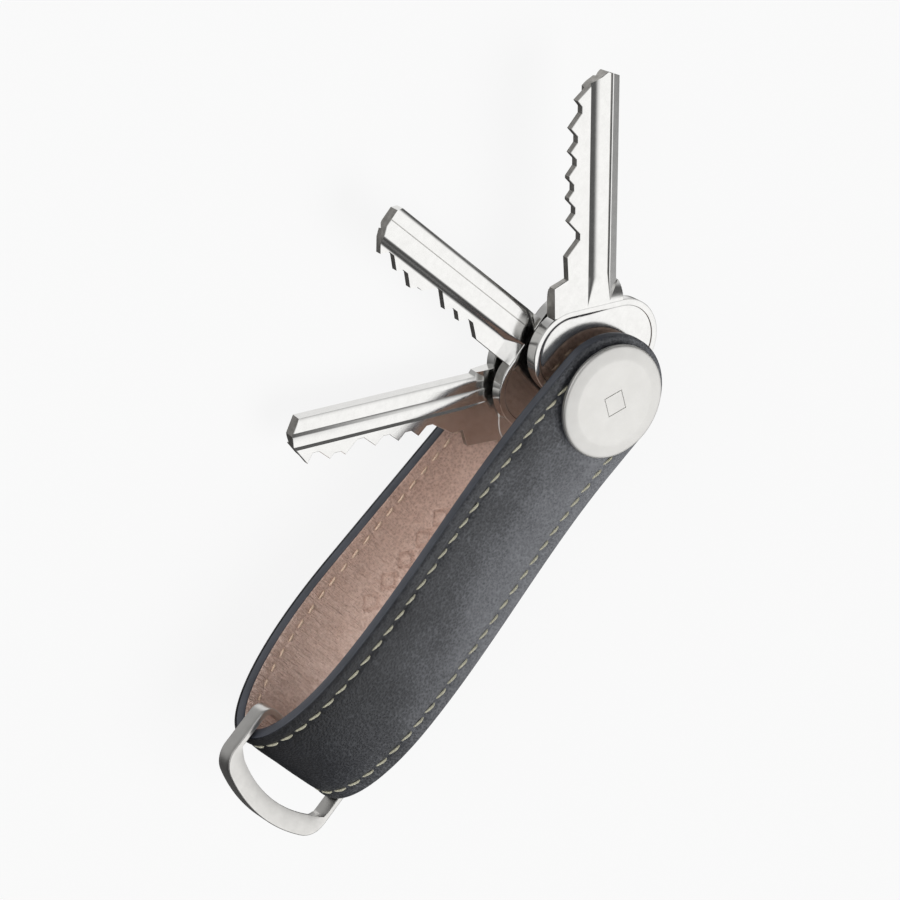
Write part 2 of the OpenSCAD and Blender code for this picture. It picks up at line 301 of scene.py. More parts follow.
class Shader:
    """A node material around one Principled shader, with plain helpers for the usual links."""

    def __init__(self, name, **inputs):
        self.material = bpy.data.materials.new(name)
        self.material.use_nodes = True
        self.tree = self.material.node_tree
        self.main = self.tree.nodes["Principled BSDF"]
        for key, value in inputs.items():
            self.main.inputs[key.replace("_", " ")].default_value = value
        self.place = self.add("ShaderNodeTexCoord").outputs["Object"]

    def add(self, kind, inputs=None, **settings):
        return add_node(self.tree, kind, inputs, **settings)

    def stretched(self, scale, rotation=(0, 0, 0)):
        inputs = {"Vector": self.place, "Scale": scale, "Rotation": rotation}
        return self.add("ShaderNodeMapping", inputs).outputs[0]

    def noise(self, size, detail=3, roughness=0.5, vector=None):
        """Noise whose features are about size millimetres across."""
        inputs = {"Vector": vector or self.place, "Scale": 1 / (size * MM), "Detail": detail,
                  "Roughness": roughness}
        return self.add("ShaderNodeTexNoise", inputs).outputs["Fac"]

    def pebbles(self, size):
        """Rounded cells about size millimetres across."""
        inputs = {"Vector": self.place, "Scale": 1 / (size * MM)}
        return self.add("ShaderNodeTexVoronoi", inputs, feature="SMOOTH_F1").outputs["Distance"]

    def math(self, operation, a, b):
        return self.add("ShaderNodeMath", {0: a, 1: b}, operation=operation).outputs[0]

    def weighted(self, a, a_part, b, b_part):
        return self.math("ADD", self.math("MULTIPLY", a, a_part), self.math("MULTIPLY", b, b_part))

    def between(self, axis, start, end, low, high):
        """A value that goes from low to high between two places, in millimetres, on an axis."""
        place = self.add("ShaderNodeSeparateXYZ", {0: self.place}).outputs[axis]
        inputs = {"Value": place, "From Min": start * MM, "From Max": end * MM, "To Min": low, "To Max": high}
        return self.add("ShaderNodeMapRange", inputs).outputs[0]

    def ramp(self, value, stops):
        node = self.add("ShaderNodeValToRGB", {"Fac": value})
        elements = node.color_ramp.elements
        while len(elements) < len(stops):
            elements.new(0.5)
        for element, (at, colour) in zip(elements, stops):
            element.position = at
            element.color = (*colour, 1)
        return node.outputs["Color"]

    def range(self, value, low, high):
        return self.add("ShaderNodeMapRange", {"Value": value, "To Min": low, "To Max": high}).outputs[0]

    def bump(self, height, depth, strength=1.0, normal=None):
        """Relief of about depth millimetres from a height between 0 and 1."""
        inputs = {"Height": height, "Distance": depth * MM, "Strength": strength}
        if normal:
            inputs["Normal"] = normal
        return self.add("ShaderNodeBump", inputs).outputs[0]

    def set(self, key, value):
        self.tree.links.new(value, self.main.inputs[key])


# Where along the strap the bending begins to show in the leathers: the lining's creases, and the painted
# shade on the outer leather
BEND_X = -30


def leather_outer():
    """Waxed leather, with painted shade that darkens it towards the fold and along the +Y seam."""
    sh = Shader("leather_outer", Roughness=0.42, Specular_IOR_Level=0.6)
    fine = sh.noise(0.14, 4)
    grain = sh.weighted(sh.pebbles(0.36), 0.75, fine, 0.5)
    # painted shade: the colour is made darker towards the fold and towards the +Y seam, where the leather
    # falls into shade
    painted_shade = sh.math("ADD", sh.between("X", FOLD_X, BEND_X, 0, 0.2), sh.between("Y", 7, -8, 0, 0.2))
    tone = sh.math("ADD", sh.weighted(grain, 0.28, sh.noise(9, 3), 0.2), painted_shade)
    sh.set("Base Color", sh.ramp(tone, [(0.27, (0.003, 0.003, 0.004)), (0.39, (0.010, 0.011, 0.014)),
                                        (0.49, (0.034, 0.036, 0.041)), (0.57, (0.074, 0.077, 0.086)),
                                        (0.69, (0.135, 0.140, 0.152))]))
    sh.set("Roughness", sh.range(fine, 0.32, 0.52))
    sh.set("Normal", sh.bump(grain, 0.15, 1.0, sh.bump(sh.noise(2.5, 3), 0.12, 0.3)))
    return sh.material


def edge_paint():
    sh = Shader("edge_paint", Roughness=0.35, Specular_IOR_Level=0.8)
    tone = sh.noise(3, 3)
    sh.set("Base Color", sh.ramp(tone, [(0.3, (0.026, 0.029, 0.037)), (0.75, (0.040, 0.044, 0.056))]))
    sh.set("Roughness", sh.range(sh.noise(0.6, 3), 0.32, 0.5))
    sh.set("Normal", sh.bump(sh.noise(0.5, 4), 0.03, 0.5))
    return sh.material


def leather_lining():
    """Pearly leather, creased across its width where it bends, with painted shade in the crease hollows and
    painted highlights on their ridges, growing towards the fold.
    """
    sh = Shader("leather_lining", Roughness=0.42, Metallic=0.3)
    grain = sh.weighted(sh.pebbles(0.4), 0.6, sh.noise(0.2, 4), 0.6)
    creases = sh.noise(1.3, 4, 0.6, sh.stretched((2.0, 0.34, 2.0)))
    folds = sh.math("MULTIPLY", creases, sh.between("X", BEND_X, FOLD_X + 8, 0.15, 1))
    tone = sh.weighted(grain, 0.55, sh.noise(8, 3), 0.2)
    # painted shade and highlight: the crease relief also darkens the colour in its hollows and lightens it on
    # its ridges, more so towards the fold
    tone = sh.math("ADD", tone, sh.math("MULTIPLY", folds, 0.5))
    sh.set("Base Color", sh.ramp(tone, [(0.25, (0.36, 0.24, 0.195)), (0.5, (0.64, 0.465, 0.39)),
                                        (0.8, (0.86, 0.68, 0.60))]))
    sh.set("Roughness", sh.range(creases, 0.3, 0.52))
    sh.set("Normal", sh.bump(folds, 1.5, 1.0, sh.bump(grain, 0.12, 1.0)))
    return sh.material


def thread(name, dark, light):
    sh = Shader(name, Roughness=0.6, Sheen_Weight=0.25)
    sh.set("Base Color", sh.ramp(sh.noise(0.25, 3), [(0.3, dark), (0.7, light)]))
    sh.set("Normal", sh.bump(sh.noise(0.09, 3), 0.04, 0.6))
    return sh.material


def blasted_metal():
    sh = Shader("cap_metal", Metallic=1.0, Roughness=0.42)
    grit = sh.noise(0.09, 3)
    sh.set("Base Color", sh.ramp(sh.noise(2.5, 3), [(0.3, (0.78, 0.77, 0.745)), (0.7, (0.82, 0.81, 0.785))]))
    sh.set("Roughness", sh.range(grit, 0.4, 0.52))
    sh.set("Normal", sh.bump(grit, 0.006, 0.6))
    return sh.material


def brushed_metal(name, base, scale):
    """Satin metal with fine lines along the direction that scale leaves short."""
    sh = Shader(name, Metallic=1.0, Roughness=0.3)
    lines = sh.noise(0.1, 3, 0.6, sh.stretched(scale))
    lighter = tuple(min(1, c * 1.09) for c in base)
    sh.set("Base Color", sh.ramp(sh.noise(1.5, 3), [(0.3, base), (0.7, lighter)]))
    sh.set("Roughness", sh.range(lines, 0.24, 0.4))
    sh.set("Normal", sh.bump(lines, 0.006, 0.5))
    return sh.material


def key_metal(name, turn):
    """Polished nickel with faint milling lines along a key that points in direction turn."""
    sh = Shader(name, Metallic=1.0, Roughness=0.14)
    along = sh.stretched((0.06, 1, 1), (0, 0, -math.radians(turn)))
    lines = sh.noise(0.12, 3, 0.6, along)
    scuffs = sh.noise(1.3, 5, 0.7)
    sh.set("Base Color", sh.ramp(scuffs, [(0.3, (0.69, 0.685, 0.67)), (0.65, (0.75, 0.745, 0.73))]))
    sh.set("Roughness", sh.range(sh.weighted(lines, 0.6, scuffs, 0.4), 0.06, 0.24))
    sh.set("Normal", sh.bump(lines, 0.004, 0.5))
    return sh.material


def shaded_cut_metal():
    """The sawn and punched walls of a key: rougher than its faces, and darker in colour as painted shade."""
    sh = Shader("key_cut_metal", Metallic=1.0, Roughness=0.4)
    saw = sh.noise(0.1, 3, 0.6, sh.stretched((1, 1, 0.15)))
    # painted shade: a much darker colour than the faces' metal, standing in for the dark reflections the
    # walls show
    sh.set("Base Color", sh.ramp(sh.noise(0.8, 3), [(0.3, (0.34, 0.33, 0.31)), (0.7, (0.5, 0.485, 0.46))]))
    sh.set("Roughness", sh.range(saw, 0.28, 0.5))
    sh.set("Normal", sh.bump(saw, 0.02, 0.6))
    return sh.material


def dark_polymer(name):
    sh = Shader(name, Roughness=0.5)
    tone = sh.noise(1.2, 3)
    sh.set("Base Color", sh.ramp(tone, [(0.3, (0.012, 0.012, 0.013)), (0.7, (0.022, 0.022, 0.023))]))
    sh.set("Roughness", sh.range(sh.noise(0.3, 3), 0.42, 0.62))
    sh.set("Normal", sh.bump(sh.noise(0.12, 3), 0.01, 0.4))
    return sh.material


# ---------------------------------------------------------------- leather pieces

EDGE_BAND = 6.4                       # how far from the edge the rounded section reaches
MIDDLE = np.linspace(HALF_W - EDGE_BAND, EDGE_BAND - HALF_W, 27)[1:-1]
OUTER_FACE = 0.5                      # depths above this belong to the outer leather's face
LINING_FACE = 1.7                     # and depths below this to the lining's face


def no_relief(s, y, d, depth):
    return np.full(len(s), float(depth))


def outer_relief(s, y, d, depth):
    """The outer face swells softly and is drawn down at each stitch."""
    depth = np.full(len(s), float(depth))
    if depth[0] > OUTER_FACE:
        return depth
    pull = np.exp(-((d - SEAM_D) / 0.55) ** 2)
    depth += 0.05 * pull * np.cos(2 * np.pi * s / STITCH_PITCH)
    swell = np.array([fbm(a * 0.09, b * 0.13, 1.7) for a, b in zip(s, y)])
    return depth - 0.05 * swell * smoothstep(0.4, 2, d)


def lining_relief(s, y, d, depth):
    """The lining creases across its width where it is bent at the fold, and carries the motif."""
    depth = np.full(len(s), float(depth))
    if depth[0] < LINING_FACE:
        return depth
    fold_s = LINE_S[FOLD_INDEX]
    bent = np.exp(-((s - fold_s - 4) / 17) ** 2) * smoothstep(0.1, 1.5, d)
    crease = np.array([1 - 2 * abs(fbm(a * 0.62 + 0.35 * fbm(b * 0.4, a * 0.2, 9), b * 0.085, 4.2, 4))
                       for a, b in zip(s, y)])
    depth += 0.22 * bent * crease
    x = on_strap(s, y, depth)[:, 0]
    back = s > fold_s
    for at in MOTIF_X:
        away = np.abs(x - at) / MOTIF_HALF[0] + np.abs(y - MOTIF_Y) / MOTIF_HALF[1]
        depth -= np.where(back, MOTIF_GROOVE * np.exp(-((away - 0.82) / 0.16) ** 2), 0)
    return depth


def build_outer_leather(material):
    section = [(EDGE_BAND, OUTER_T), (3.6, OUTER_T), (1.2, OUTER_T), (0.45, OUTER_T), (0.3, 0.7), (0.26, 0.5),
               (0.22, 0.42), (0.12, 0.37), (0.04, 0.31), (0.01, 0.24), (0.03, 0.16), (0.1, 0.09),
               (0.22, 0.035), (0.4, 0.0), (0.65, -0.03), (0.95, -0.04), (1.25, -0.03), (1.5, 0.0),
               (1.7, 0.06), (1.88, 0.15), (2.05, 0.25), (2.2, 0.28), (2.35, 0.26), (2.55, 0.17),
               (2.8, 0.08), (3.1, 0.03), (3.5, 0.0), (4.0, -0.02), (4.6, -0.03), (5.2, -0.03),
               (5.8, -0.03), (EDGE_BAND, -0.03)]
    piece = strap_layer("outer_leather", section, MIDDLE[::3], outer_relief, material)
    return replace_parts(piece, "strap_outer")


def build_core(material):
    """The board between the leathers, with the painted edge that wraps their cut sides."""
    section = [(EDGE_BAND, LINING_TOP), (2.5, LINING_TOP), (0.7, LINING_TOP), (0.5, 1.45), (0.42, 1.8),
               (0.3, 1.93), (0.16, 1.95), (0.06, 1.86), (0.0, 1.68), (-0.03, 1.35), (-0.03, 1.0),
               (-0.01, 0.72), (0.03, 0.58), (0.1, 0.49), (0.2, 0.45), (0.36, 0.5), (0.5, 0.75),
               (0.7, OUTER_T), (2.5, OUTER_T), (EDGE_BAND, OUTER_T)]
    piece = strap_layer("core_edge", section, MIDDLE[::4], no_relief, material)
    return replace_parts(piece, "strap_core")


def build_lining(material):
    edge = [(0.22, 1.9), (0.32, 1.98), (0.5, 2.03), (0.8, 2.05), (1.1, 2.05), (1.4, 2.04), (1.7, 2.01),
            (1.95, 1.94), (2.2, 1.9), (2.45, 1.94), (2.7, 2.0)]
    plain = [(d, STRAP_T) for d in np.arange(3.0, EDGE_BAND + 0.01, 0.2)]
    under = [(EDGE_BAND, LINING_TOP), (3.0, LINING_TOP), (0.5, LINING_TOP), (0.25, 1.4), (0.2, 1.7)]
    piece = strap_layer("lining_leather", under + edge + plain, MIDDLE, lining_relief, material)
    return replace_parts(piece, "strap_lining")


# ---------------------------------------------------------------- stitching

def seam_point(t, r):
    """(run, y) at a distance t along the seam's loop of half width r, starting at x = 0 in front."""
    bend = math.pi * r
    if t < LENGTH:
        return t, r
    if t < LENGTH + bend:
        a = math.pi / 2 - (t - LENGTH) / r
        return LENGTH + r * math.cos(a), r * math.sin(a)
    if t < 2 * LENGTH + bend:
        return 2 * LENGTH + bend - t, -r
    a = -math.pi / 2 + (t - 2 * LENGTH - bend) / r
    return -r * math.cos(a), r * math.sin(a)


def build_stitches(name, material, length, radius, lay, slant, keep):
    """A row of separate stitches along the whole seam. lay(f) is the depth of the thread's middle
    at f from -1 to 1 along a stitch, and keep(s, y) says where a stitch can be seen."""
    r = HALF_W - SEAM_D
    loop = 2 * LENGTH + 2 * math.pi * r
    number = round(loop / STITCH_PITCH)
    sides, rings = 12, 15                                # points round the thread, and along it
    points, faces = [], []
    for n in range(number):
        middle = (n + 0.5) * loop / number
        if not keep(*seam_point(middle, r)):
            continue
        first = len(points)
        for f in np.linspace(-1, 1, rings):
            t = (middle + f * length / 2) % loop
            s, y = seam_point(t, r)
            ahead_s, ahead_y = seam_point((t + 0.05) % loop, r)
            along = on_strap(ahead_s, ahead_y, 0) - on_strap(s, y, 0)
            along /= np.linalg.norm(along)
            down = on_strap(s, y, 1.0) - on_strap(s, y, 0.0)
            across = np.cross(down, along)
            centre = on_strap(s, y, lay(f)) + across * slant * f
            swell = radius * (1 - 0.45 * abs(f) ** 3)
            for i in range(sides):
                a = 2 * math.pi * i / sides
                ply = 1 + 0.1 * math.cos(2 * a + 5 * f)
                points.append(centre + swell * ply * (across * math.cos(a) + 0.8 * down * math.sin(a)))
        faces += ring_faces(rings, sides, first) + end_faces(rings, sides, first)
    return make_object(name, mesh_from(name, points, faces), material, "strap", smooth_angle=50)


def clear_of_post(s, y):
    """Whether a place on the panels lies outside the cap and the screw's head."""
    return 0 < s < LENGTH and math.hypot(min(on_strap(s, y, 0)[0], 0), y) > CAP_R - 0.2


def build_outer_stitches(material):
    piece = build_stitches("outer_stitches", material, length=2.4, radius=THREAD_R, slant=0.24,
                           lay=lambda f: 0.14 + 0.42 * abs(f) ** 3.2, keep=clear_of_post)
    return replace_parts(piece, "stitch_outer")


def build_lining_stitches(material):
    piece = build_stitches("lining_stitches", material, length=1.95, radius=THREAD_R, slant=0.12,
                           lay=lambda f: 2.03 - 0.4 * abs(f) ** 3, keep=lambda s, y: True)
    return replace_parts(piece, "stitch_lining")


# ---------------------------------------------------------------- the cap

def lathe(name, profile, material, body):
    """A closed turned piece from (radius, height) pairs, first and last on the axis."""
    segments = 160
    angles = np.linspace(0, 2 * math.pi, segments, endpoint=False)
    inner = profile[1:-1]
    points = [(r * math.cos(a), r * math.sin(a), z) for r, z in inner for a in angles]
    faces = ring_faces(len(inner), segments)
    low, high = len(points), len(points) + 1
    points += [(0, 0, profile[0][1]), (0, 0, profile[-1][1])]
    last = (len(inner) - 1) * segments
    faces += [((i + 1) % segments, i, low) for i in range(segments)]
    faces += [(last + i, last + (i + 1) % segments, high) for i in range(segments)]
    return make_object(name, mesh_from(name, points, faces), material, body, smooth_angle=40)


def cap_profile(low, height):
    """The cap's section: a thin bright rim, a straight wall, a soft bevel and a very slightly
    crowned face."""
    r, t = CAP_R, height
    shape = [(0, 0), (2.4, 0), (5, 0), (r - 0.3, 0), (r - 0.1, 0.02), (r - 0.02, 0.08), (r, 0.18),
             (r, 0.5), (r - 0.02, 0.58), (r - 0.09, 0.67), (r - 0.22, 0.74), (r - 0.45, 0.79),
             (r - 0.8, 0.85), (r - 1.2, 0.92), (r - 1.7, 1.005), (r - 2.1, 1.07), (r - 2.25, 1.087),
             (r - 2.4, 1.094), (5.4, 1.096), (4, 1.098), (2, 1.099), (0, 1.1)]
    return [(a, low + z * t / 1.1) for a, z in shape]


def prism(name, outline, low, high):
    """A closed prism as a bare object, for cutting with."""
    n = len(outline)
    points = [(x, y, z) for z in (low, high) for x, y in outline]
    return bare_object(name, points, ring_faces(2, n) + end_faces(2, n))


def boolean(obj, tool, operation):
    """Applies an exact boolean and removes the tool."""
    modifier = obj.modifiers.new("cut", "BOOLEAN")
    modifier.object = tool
    modifier.operation = operation
    modifier.solver = "EXACT"
    graph = bpy.context.evaluated_depsgraph_get()
    mesh = bpy.data.meshes.new_from_object(obj.evaluated_get(graph))
    obj.modifiers.remove(modifier)
    old, obj.data = obj.data, mesh
    bpy.data.meshes.remove(old)
    bpy.data.objects.remove(tool)
    return obj


def build_cap(material):
    """The front cap, with a thin lozenge engraved in its face."""
    cap = lathe("cap_disc", cap_profile(CAP_LOW[2], CAP_HIGH[2] - CAP_LOW[2]), material, "strap")
    outer, inner, depth = 2.3, 2.1, 0.09
    face = CAP_HIGH[2]
    groove = prism("lozenge", arc((0, 0), outer, 20, 290, 3), face - depth, face + 1)
    island = prism("island", arc((0, 0), inner, 20, 290, 3), CAP_LOW[2], face + 2)
    boolean(groove, island, "DIFFERENCE")
    boolean(cap, groove, "DIFFERENCE")
    for polygon in cap.data.polygons:
        polygon.use_smooth = True
    mark_sharp(cap.data, 40)
    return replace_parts(cap, "front_cap")


# ---------------------------------------------------------------- the keys

KEY_T = box_mm("key_front")[1][2] - box_mm("key_front")[0][2]
BOW_U = 7.3
LOBE_V = 4.5
LOBE_R = 6.6
BOW_END_R = 5.4
BLADE_HALF = 3.9
BLADE_START = 13.25                  # inside the bow's rim
BLADE_DROP = 0.03                    # how far the blade's faces lie below the rim
BLADE_CHAMFER = 0.08
BORE_PLAY = 0.05
SPINE_V = -3.2                       # beyond this the blade's walls are polished, not cut


def arc(centre, radius, start, end, steps):
    turn = np.radians(np.linspace(start, end, steps + 1))
    return [(centre[0] + radius * math.cos(a), centre[1] + radius * math.sin(a)) for a in turn]


def bow_outline(inset):
    """Two side lobes and a smaller end round the hole, as in the CAD model."""
    side_r, end_r = LOBE_R - inset, BOW_END_R - inset
    lean = math.acos((end_r - side_r) / math.hypot(BOW_U, LOBE_V))
    touch = math.degrees(math.atan2(LOBE_V, BOW_U) + lean)
    return (arc((BOW_U, LOBE_V), side_r, 0, touch, 40) + arc((0, 0), end_r, touch, 360 - touch, 36)
            + arc((BOW_U, -LOBE_V), side_r, 360 - touch, 360, 40))


def bow_solid(name):
    """The bow: a raised rim with soft edges round a face that lies a little lower."""
    recess = 0.22
    rim = [(1.5, recess), (1.22, recess), (1.06, 0.8 * recess), (0.96, 0.25 * recess), (0.84, 0.02),
           (0.7, 0), (0.16, 0), (0.05, 0.04), (0, 0.15)]
    rings = rim + [(i, KEY_T - z) for i, z in reversed(rim)]
    outlines = [bow_outline(i) for i, z in rings]
    count = len(outlines[0])
    points = [(x, y, z) for outline, (i, z) in zip(outlines, rings) for x, y in outline]
    return bare_object(name, points, ring_faces(len(rings), count) + end_faces(len(rings), count))


def inset_outline(outline, amount):
    """A polygon's points moved inwards, each along the mean normal of its two sides."""
    points = np.array(outline, float)
    ahead = np.roll(points, -1, 0) - points
    ahead /= np.linalg.norm(ahead, axis=1)[:, None]
    behind = np.roll(ahead, 1, 0)
    normal = np.column_stack([-ahead[:, 1] - behind[:, 1], ahead[:, 0] + behind[:, 0]])
    normal /= np.maximum((normal * normal).sum(1) / 2, 0.6)[:, None]
    return points + amount * normal


def chamfered_prism(name, outline, low, high, chamfer):
    """A closed prism over an outline drawn anticlockwise, with its long edges broken."""
    drawn_in = inset_outline(outline, chamfer)
    outline = np.array(outline, float)
    n = len(outline)
    rings = [(drawn_in, low), (outline, low + chamfer), (outline, high - chamfer), (drawn_in, high)]
    points = [(x, y, z) for ring, z in rings for x, y in ring]
    return bare_object(name, points, ring_faces(len(rings), n) + end_faces(len(rings), n))


def bitting(cuts, flank, crest):
    """The cut edge from the tip to the bow: a flat floor at each cut, with sloping sides between."""
    flat = 0.5                                           # half of a floor's length
    points = []
    for (u, v), below in zip(cuts, cuts[1:] + [None]):
        points += [(u + flat, v), (u - flat, v)]
        if below is None:
            continue
        gap = u - below[0] - 2 * flat
        peak = (gap / flank + v + below[1]) / 2
        if peak < crest:
            points.append((u - flat - flank * (peak - v), peak))
        else:
            points.append((u - flat - flank * (crest - v), crest))
            points.append((below[0] + flat + flank * (crest - below[1]), crest))
    return points


def blade_face(grooves, left):
    """One face's (v, depth) points. A groove is (edge, [(v, depth), ...]), and as left falls from
    1 to 0 near the bow it draws in towards its edge until it runs out in a point."""
    points = []
    for edge, section in grooves:
        points += [(edge + (v - edge) * left, depth * left) for v, depth in section]
    return points


def blade_solid(name, front, back, runout):
    """The blade's milled bar, as long and wide as any outline needs. Its grooves run out over the
    stretch runout."""
    end, high, low = 50, 9, -6
    stations = [BLADE_START] + list(np.linspace(*runout, 11)) + [end]
    points = []
    for u in stations:
        left = min(max((u - runout[0]) / (runout[1] - runout[0]), 0.004), 1)
        top = [(high, 0)] + blade_face(front, left) + [(low, 0)]
        bottom = [(low, 0)] + blade_face(back, left)[::-1] + [(high, 0)]
        points += [(u, v, KEY_T - BLADE_DROP - d) for v, d in top]
        points += [(u, v, BLADE_DROP + d) for v, d in bottom]
    rings = len(stations)
    count = len(points) // rings
    return bare_object(name, points, ring_faces(rings, count) + end_faces(rings, count))


def build_key(name, angle, outline, front, back, runout):
    """A key in its place: the milled bar cut to its outline, and joined to the bow. front and back
    are the grooves in the blade's faces, and angle is where the key points, in degrees."""
    face_metal, shaded_wall_metal = key_metal(name + "_metal", angle), shaded_cut_metal()
    blade = blade_solid(name + "_form", front, back, runout)
    low, high = BLADE_DROP - 0.01, KEY_T - BLADE_DROP + 0.01
    boolean(blade, chamfered_prism("outline", outline, low, high, BLADE_CHAMFER), "INTERSECT")
    key = boolean(bow_solid("bow"), blade, "UNION")
    bore_r = box_mm("post")[1][0] + BORE_PLAY
    boolean(key, prism("bore", arc((0, 0), bore_r, 0, 355, 71), -1, KEY_T + 1), "DIFFERENCE")
    mesh = key.data
    bpy.data.objects.remove(key)
    walls = [abs(p.normal.z) < 0.3 and p.center.x > BLADE_START * MM and p.center.y > SPINE_V * MM
             for p in mesh.polygons]
    lift = Matrix.Translation((0, 0, box_mm(name)[0][2] * MM))
    mesh.transform(lift @ Matrix.Rotation(math.radians(angle), 4, "Z"))
    mesh.name = name + "_cut"
    piece = make_object(name + "_cut", mesh, face_metal, name, smooth_angle=24)
    mesh.materials.append(shaded_wall_metal)
    for polygon, wall in zip(mesh.polygons, walls):
        polygon.material_index = int(wall)
    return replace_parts(piece, name)


def hollow(edge, far, depth, wall=0.12):
    """A groove that drops steeply at an edge and rises to its far side in a fading curve."""
    foot = edge + math.copysign(wall, far - edge)
    rise = [(foot + (far - foot) * t, depth * (1 - t) ** 2) for t in (0, 0.2, 0.4, 0.6, 0.8, 1)]
    return (edge, [(edge, 0)] + rise)


def slope(edge, far, depth, wall=0.1):
    """A groove that drops steeply at its edge and rises in one flat slope."""
    return (edge, [(edge, 0), (edge + math.copysign(wall, far - edge), depth), (far, 0)])


def reversed_groove(groove):
    """The same groove with its points in falling order of v."""
    edge, section = groove
    return (edge, section[::-1])


def lower_level(far, start, depth):
    """A face that eases down, in an S-curve, to a lower level beyond start."""
    ease = [(far + (start - far) * t, depth * (1 - t * t * (3 - 2 * t))) for t in np.linspace(0, 1, 9)]
    return (start, [(9, depth)] + ease)


# The blade's back is milled away behind the cuts, and carries one more groove
BACKS = [(2.0, [(9, 0.95), (2.15, 0.95), (1.95, 0)]), hollow(0.1, -1.5, 0.6)]
HEEL = [(BLADE_START, -4.75), (16.7, -4.45), (17.1, -BLADE_HALF)]


def build_keys():
    """The three keys. Along each blade, u runs from the post to the tip and v towards the cuts."""
    tip = [(47.3, -3.7), (48.3, -1.2), (47.5, 0.3), (47.0, 1.3), (44.9, 4.0)]
    cuts = [(43.5, 3.25), (39.4, 3.95), (36.1, 4.1), (32.5, 4.5), (29.1, 4.25), (25, 3.35)]
    shoulder = [(22.3, 5.5), (18.9, 5.3), (18.0, 7.7), (BLADE_START, 7.6)]
    flank = (-2.2, [(-1.6, 0), (-1.68, 0.42), (-2.05, 0.1), (-2.2, 0.1), (-6, 2.0)])
    build_key("key_front", 49.2, HEEL + tip + bitting(cuts, 1.1, 5.3) + shoulder,
              [hollow(1.75, -0.25, 0.72), flank], BACKS, (14.2, 18.6))

    tip = [(44.7, -3.9), (45.4, -3.2), (45.4, -0.6), (44.6, 1.2), (43.2, 2.9)]
    cuts = [(41.7, 1.9), (38.1, 2.7), (34.4, 3.4), (31.5, 1.75), (27.3, 2.7), (23.9, 2.6)]
    neck = [(21.2, 4.2), (BLADE_START, 4.4)]
    ridge = (-1.7, [(-1.6, 0), (-1.68, 0.13), (-1.76, 0.03), (-3.2, 0.07), (-3.5, 0.16), (-6, 1.7)])
    build_key("key_middle", 96.5, [(BLADE_START, -BLADE_HALF)] + tip + bitting(cuts, 1.2, 4.1) + neck,
              [lower_level(2.0, 0.5, 0.75), ridge], BACKS[1:], (BLADE_START + 0.1, 17))

    tip = [(46.2, -3.9), (47.4, -1.4), (47.3, 0.2), (45.2, 3.3)]
    cuts = [(43.8, 1.8), (40.3, 2.65), (36.5, 1.4), (32.3, 1.9), (28.6, 2.2), (25, 2)]
    shoulder = [(21.2, 4.2), (19.3, 4.2), (18.5, 6.95), (BLADE_START, 7.2)]
    spine = (-2.9, [(-2.9, 0), (-3.2, 0.02), (-3.5, 0.06), (-3.8, 0.13), (-6, 0.9)])
    lines = [reversed_groove(slope(0.3, 0.85, 0.22)), reversed_groove(slope(-1.85, -1.15, 0.26))]
    build_key("key_back", 138.5, HEEL + tip + bitting(cuts, 1.1, 4.1) + shoulder,
              lines + [spine], BACKS, (14.5, 19))


# ---------------------------------------------------------------- the D-ring

BAND_T = 0.9
BAND_HALF_H = 1.4
RING_HALF = 11.35
RING_L = 12.55
RING_END_R = 25
RING_CORNER_R = 3.7
BAR_CORNER_R = 2
LIP_W = 3.05
LIP_R = 20.5
LIP_DROP = 0.6
LIP_EDGE_T = 0.45
RING_AT = (FOLD_X + 4.95, -0.2, FOLD_Z + 1.1)
RING_TILT = 9.7
RING_YAW = -5


def stretch(a, b, steps):
    """Points between two ends, without the ends."""
    return [tuple(np.array(a) + (np.array(b) - np.array(a)) * i / steps) for i in range(1, steps)]


def ring_outline(inset):
    """The ring's outline drawn in by a distance, with its bar along Y through the origin."""
    half, end_r = RING_HALF - inset, RING_END_R - inset
    corner_r, bar_r = RING_CORNER_R - inset, BAR_CORNER_R - inset
    bar_x = BAND_T / 2 - inset
    end_c = (RING_END_R - RING_L, 0)
    corner_v = half - corner_r
    corner_u = end_c[0] - math.sqrt((end_r - corner_r) ** 2 - corner_v ** 2)
    meet = math.degrees(math.atan2(corner_v, corner_u - end_c[0]))
    near_bar = arc((bar_x - bar_r, half - bar_r), bar_r, 0, 90, 12)
    corner = arc((corner_u, corner_v), corner_r, 90, meet, 20)
    end = arc(end_c, end_r, meet, 180, 30)[1:]
    side = near_bar + stretch(near_bar[-1], corner[0], 16) + corner + end
    mirrored = [(x, -y) for x, y in reversed(side[:-1])]
    return side + mirrored + stretch(mirrored[-1], side[0], 12)


def ring_section(width):
    """(inset, z) points of the band's section where it reaches width inwards: a plain band along
    the arms, and an undercut lip at the outer end."""
    lip = min(max((width - BAND_T) / (LIP_W - BAND_T), 0), 1)
    top = BAND_HALF_H - LIP_DROP * lip
    nose = -BAND_HALF_H + (2 * BAND_HALF_H - LIP_DROP - LIP_EDGE_T) * lip
    h = BAND_HALF_H
    halfway = 0.5 * (0.6 + width)
    crown = [(i, h - 0.012 - (h - top) * (i / width) ** 1.5) for i in (0.35, 0.6, halfway)]
    outer = [(0.14, -h), (0.04, -h + 0.04), (0, -h + 0.14), (0, -0.5), (0, 0.5), (0, h - 0.16),
             (0.05, h - 0.05), (0.16, h)]
    inner = [(width - 0.14, top), (width - 0.04, top - 0.04), (width, top - 0.13), (width, nose + 0.13),
             (width - 0.04, nose + 0.04), (width - 0.14 - 0.1 * lip, nose - 0.08 * lip),
             (0.5 * (0.5 + width), 0.5 * (nose - h)), (0.5, -h)]
    return outer + crown + inner


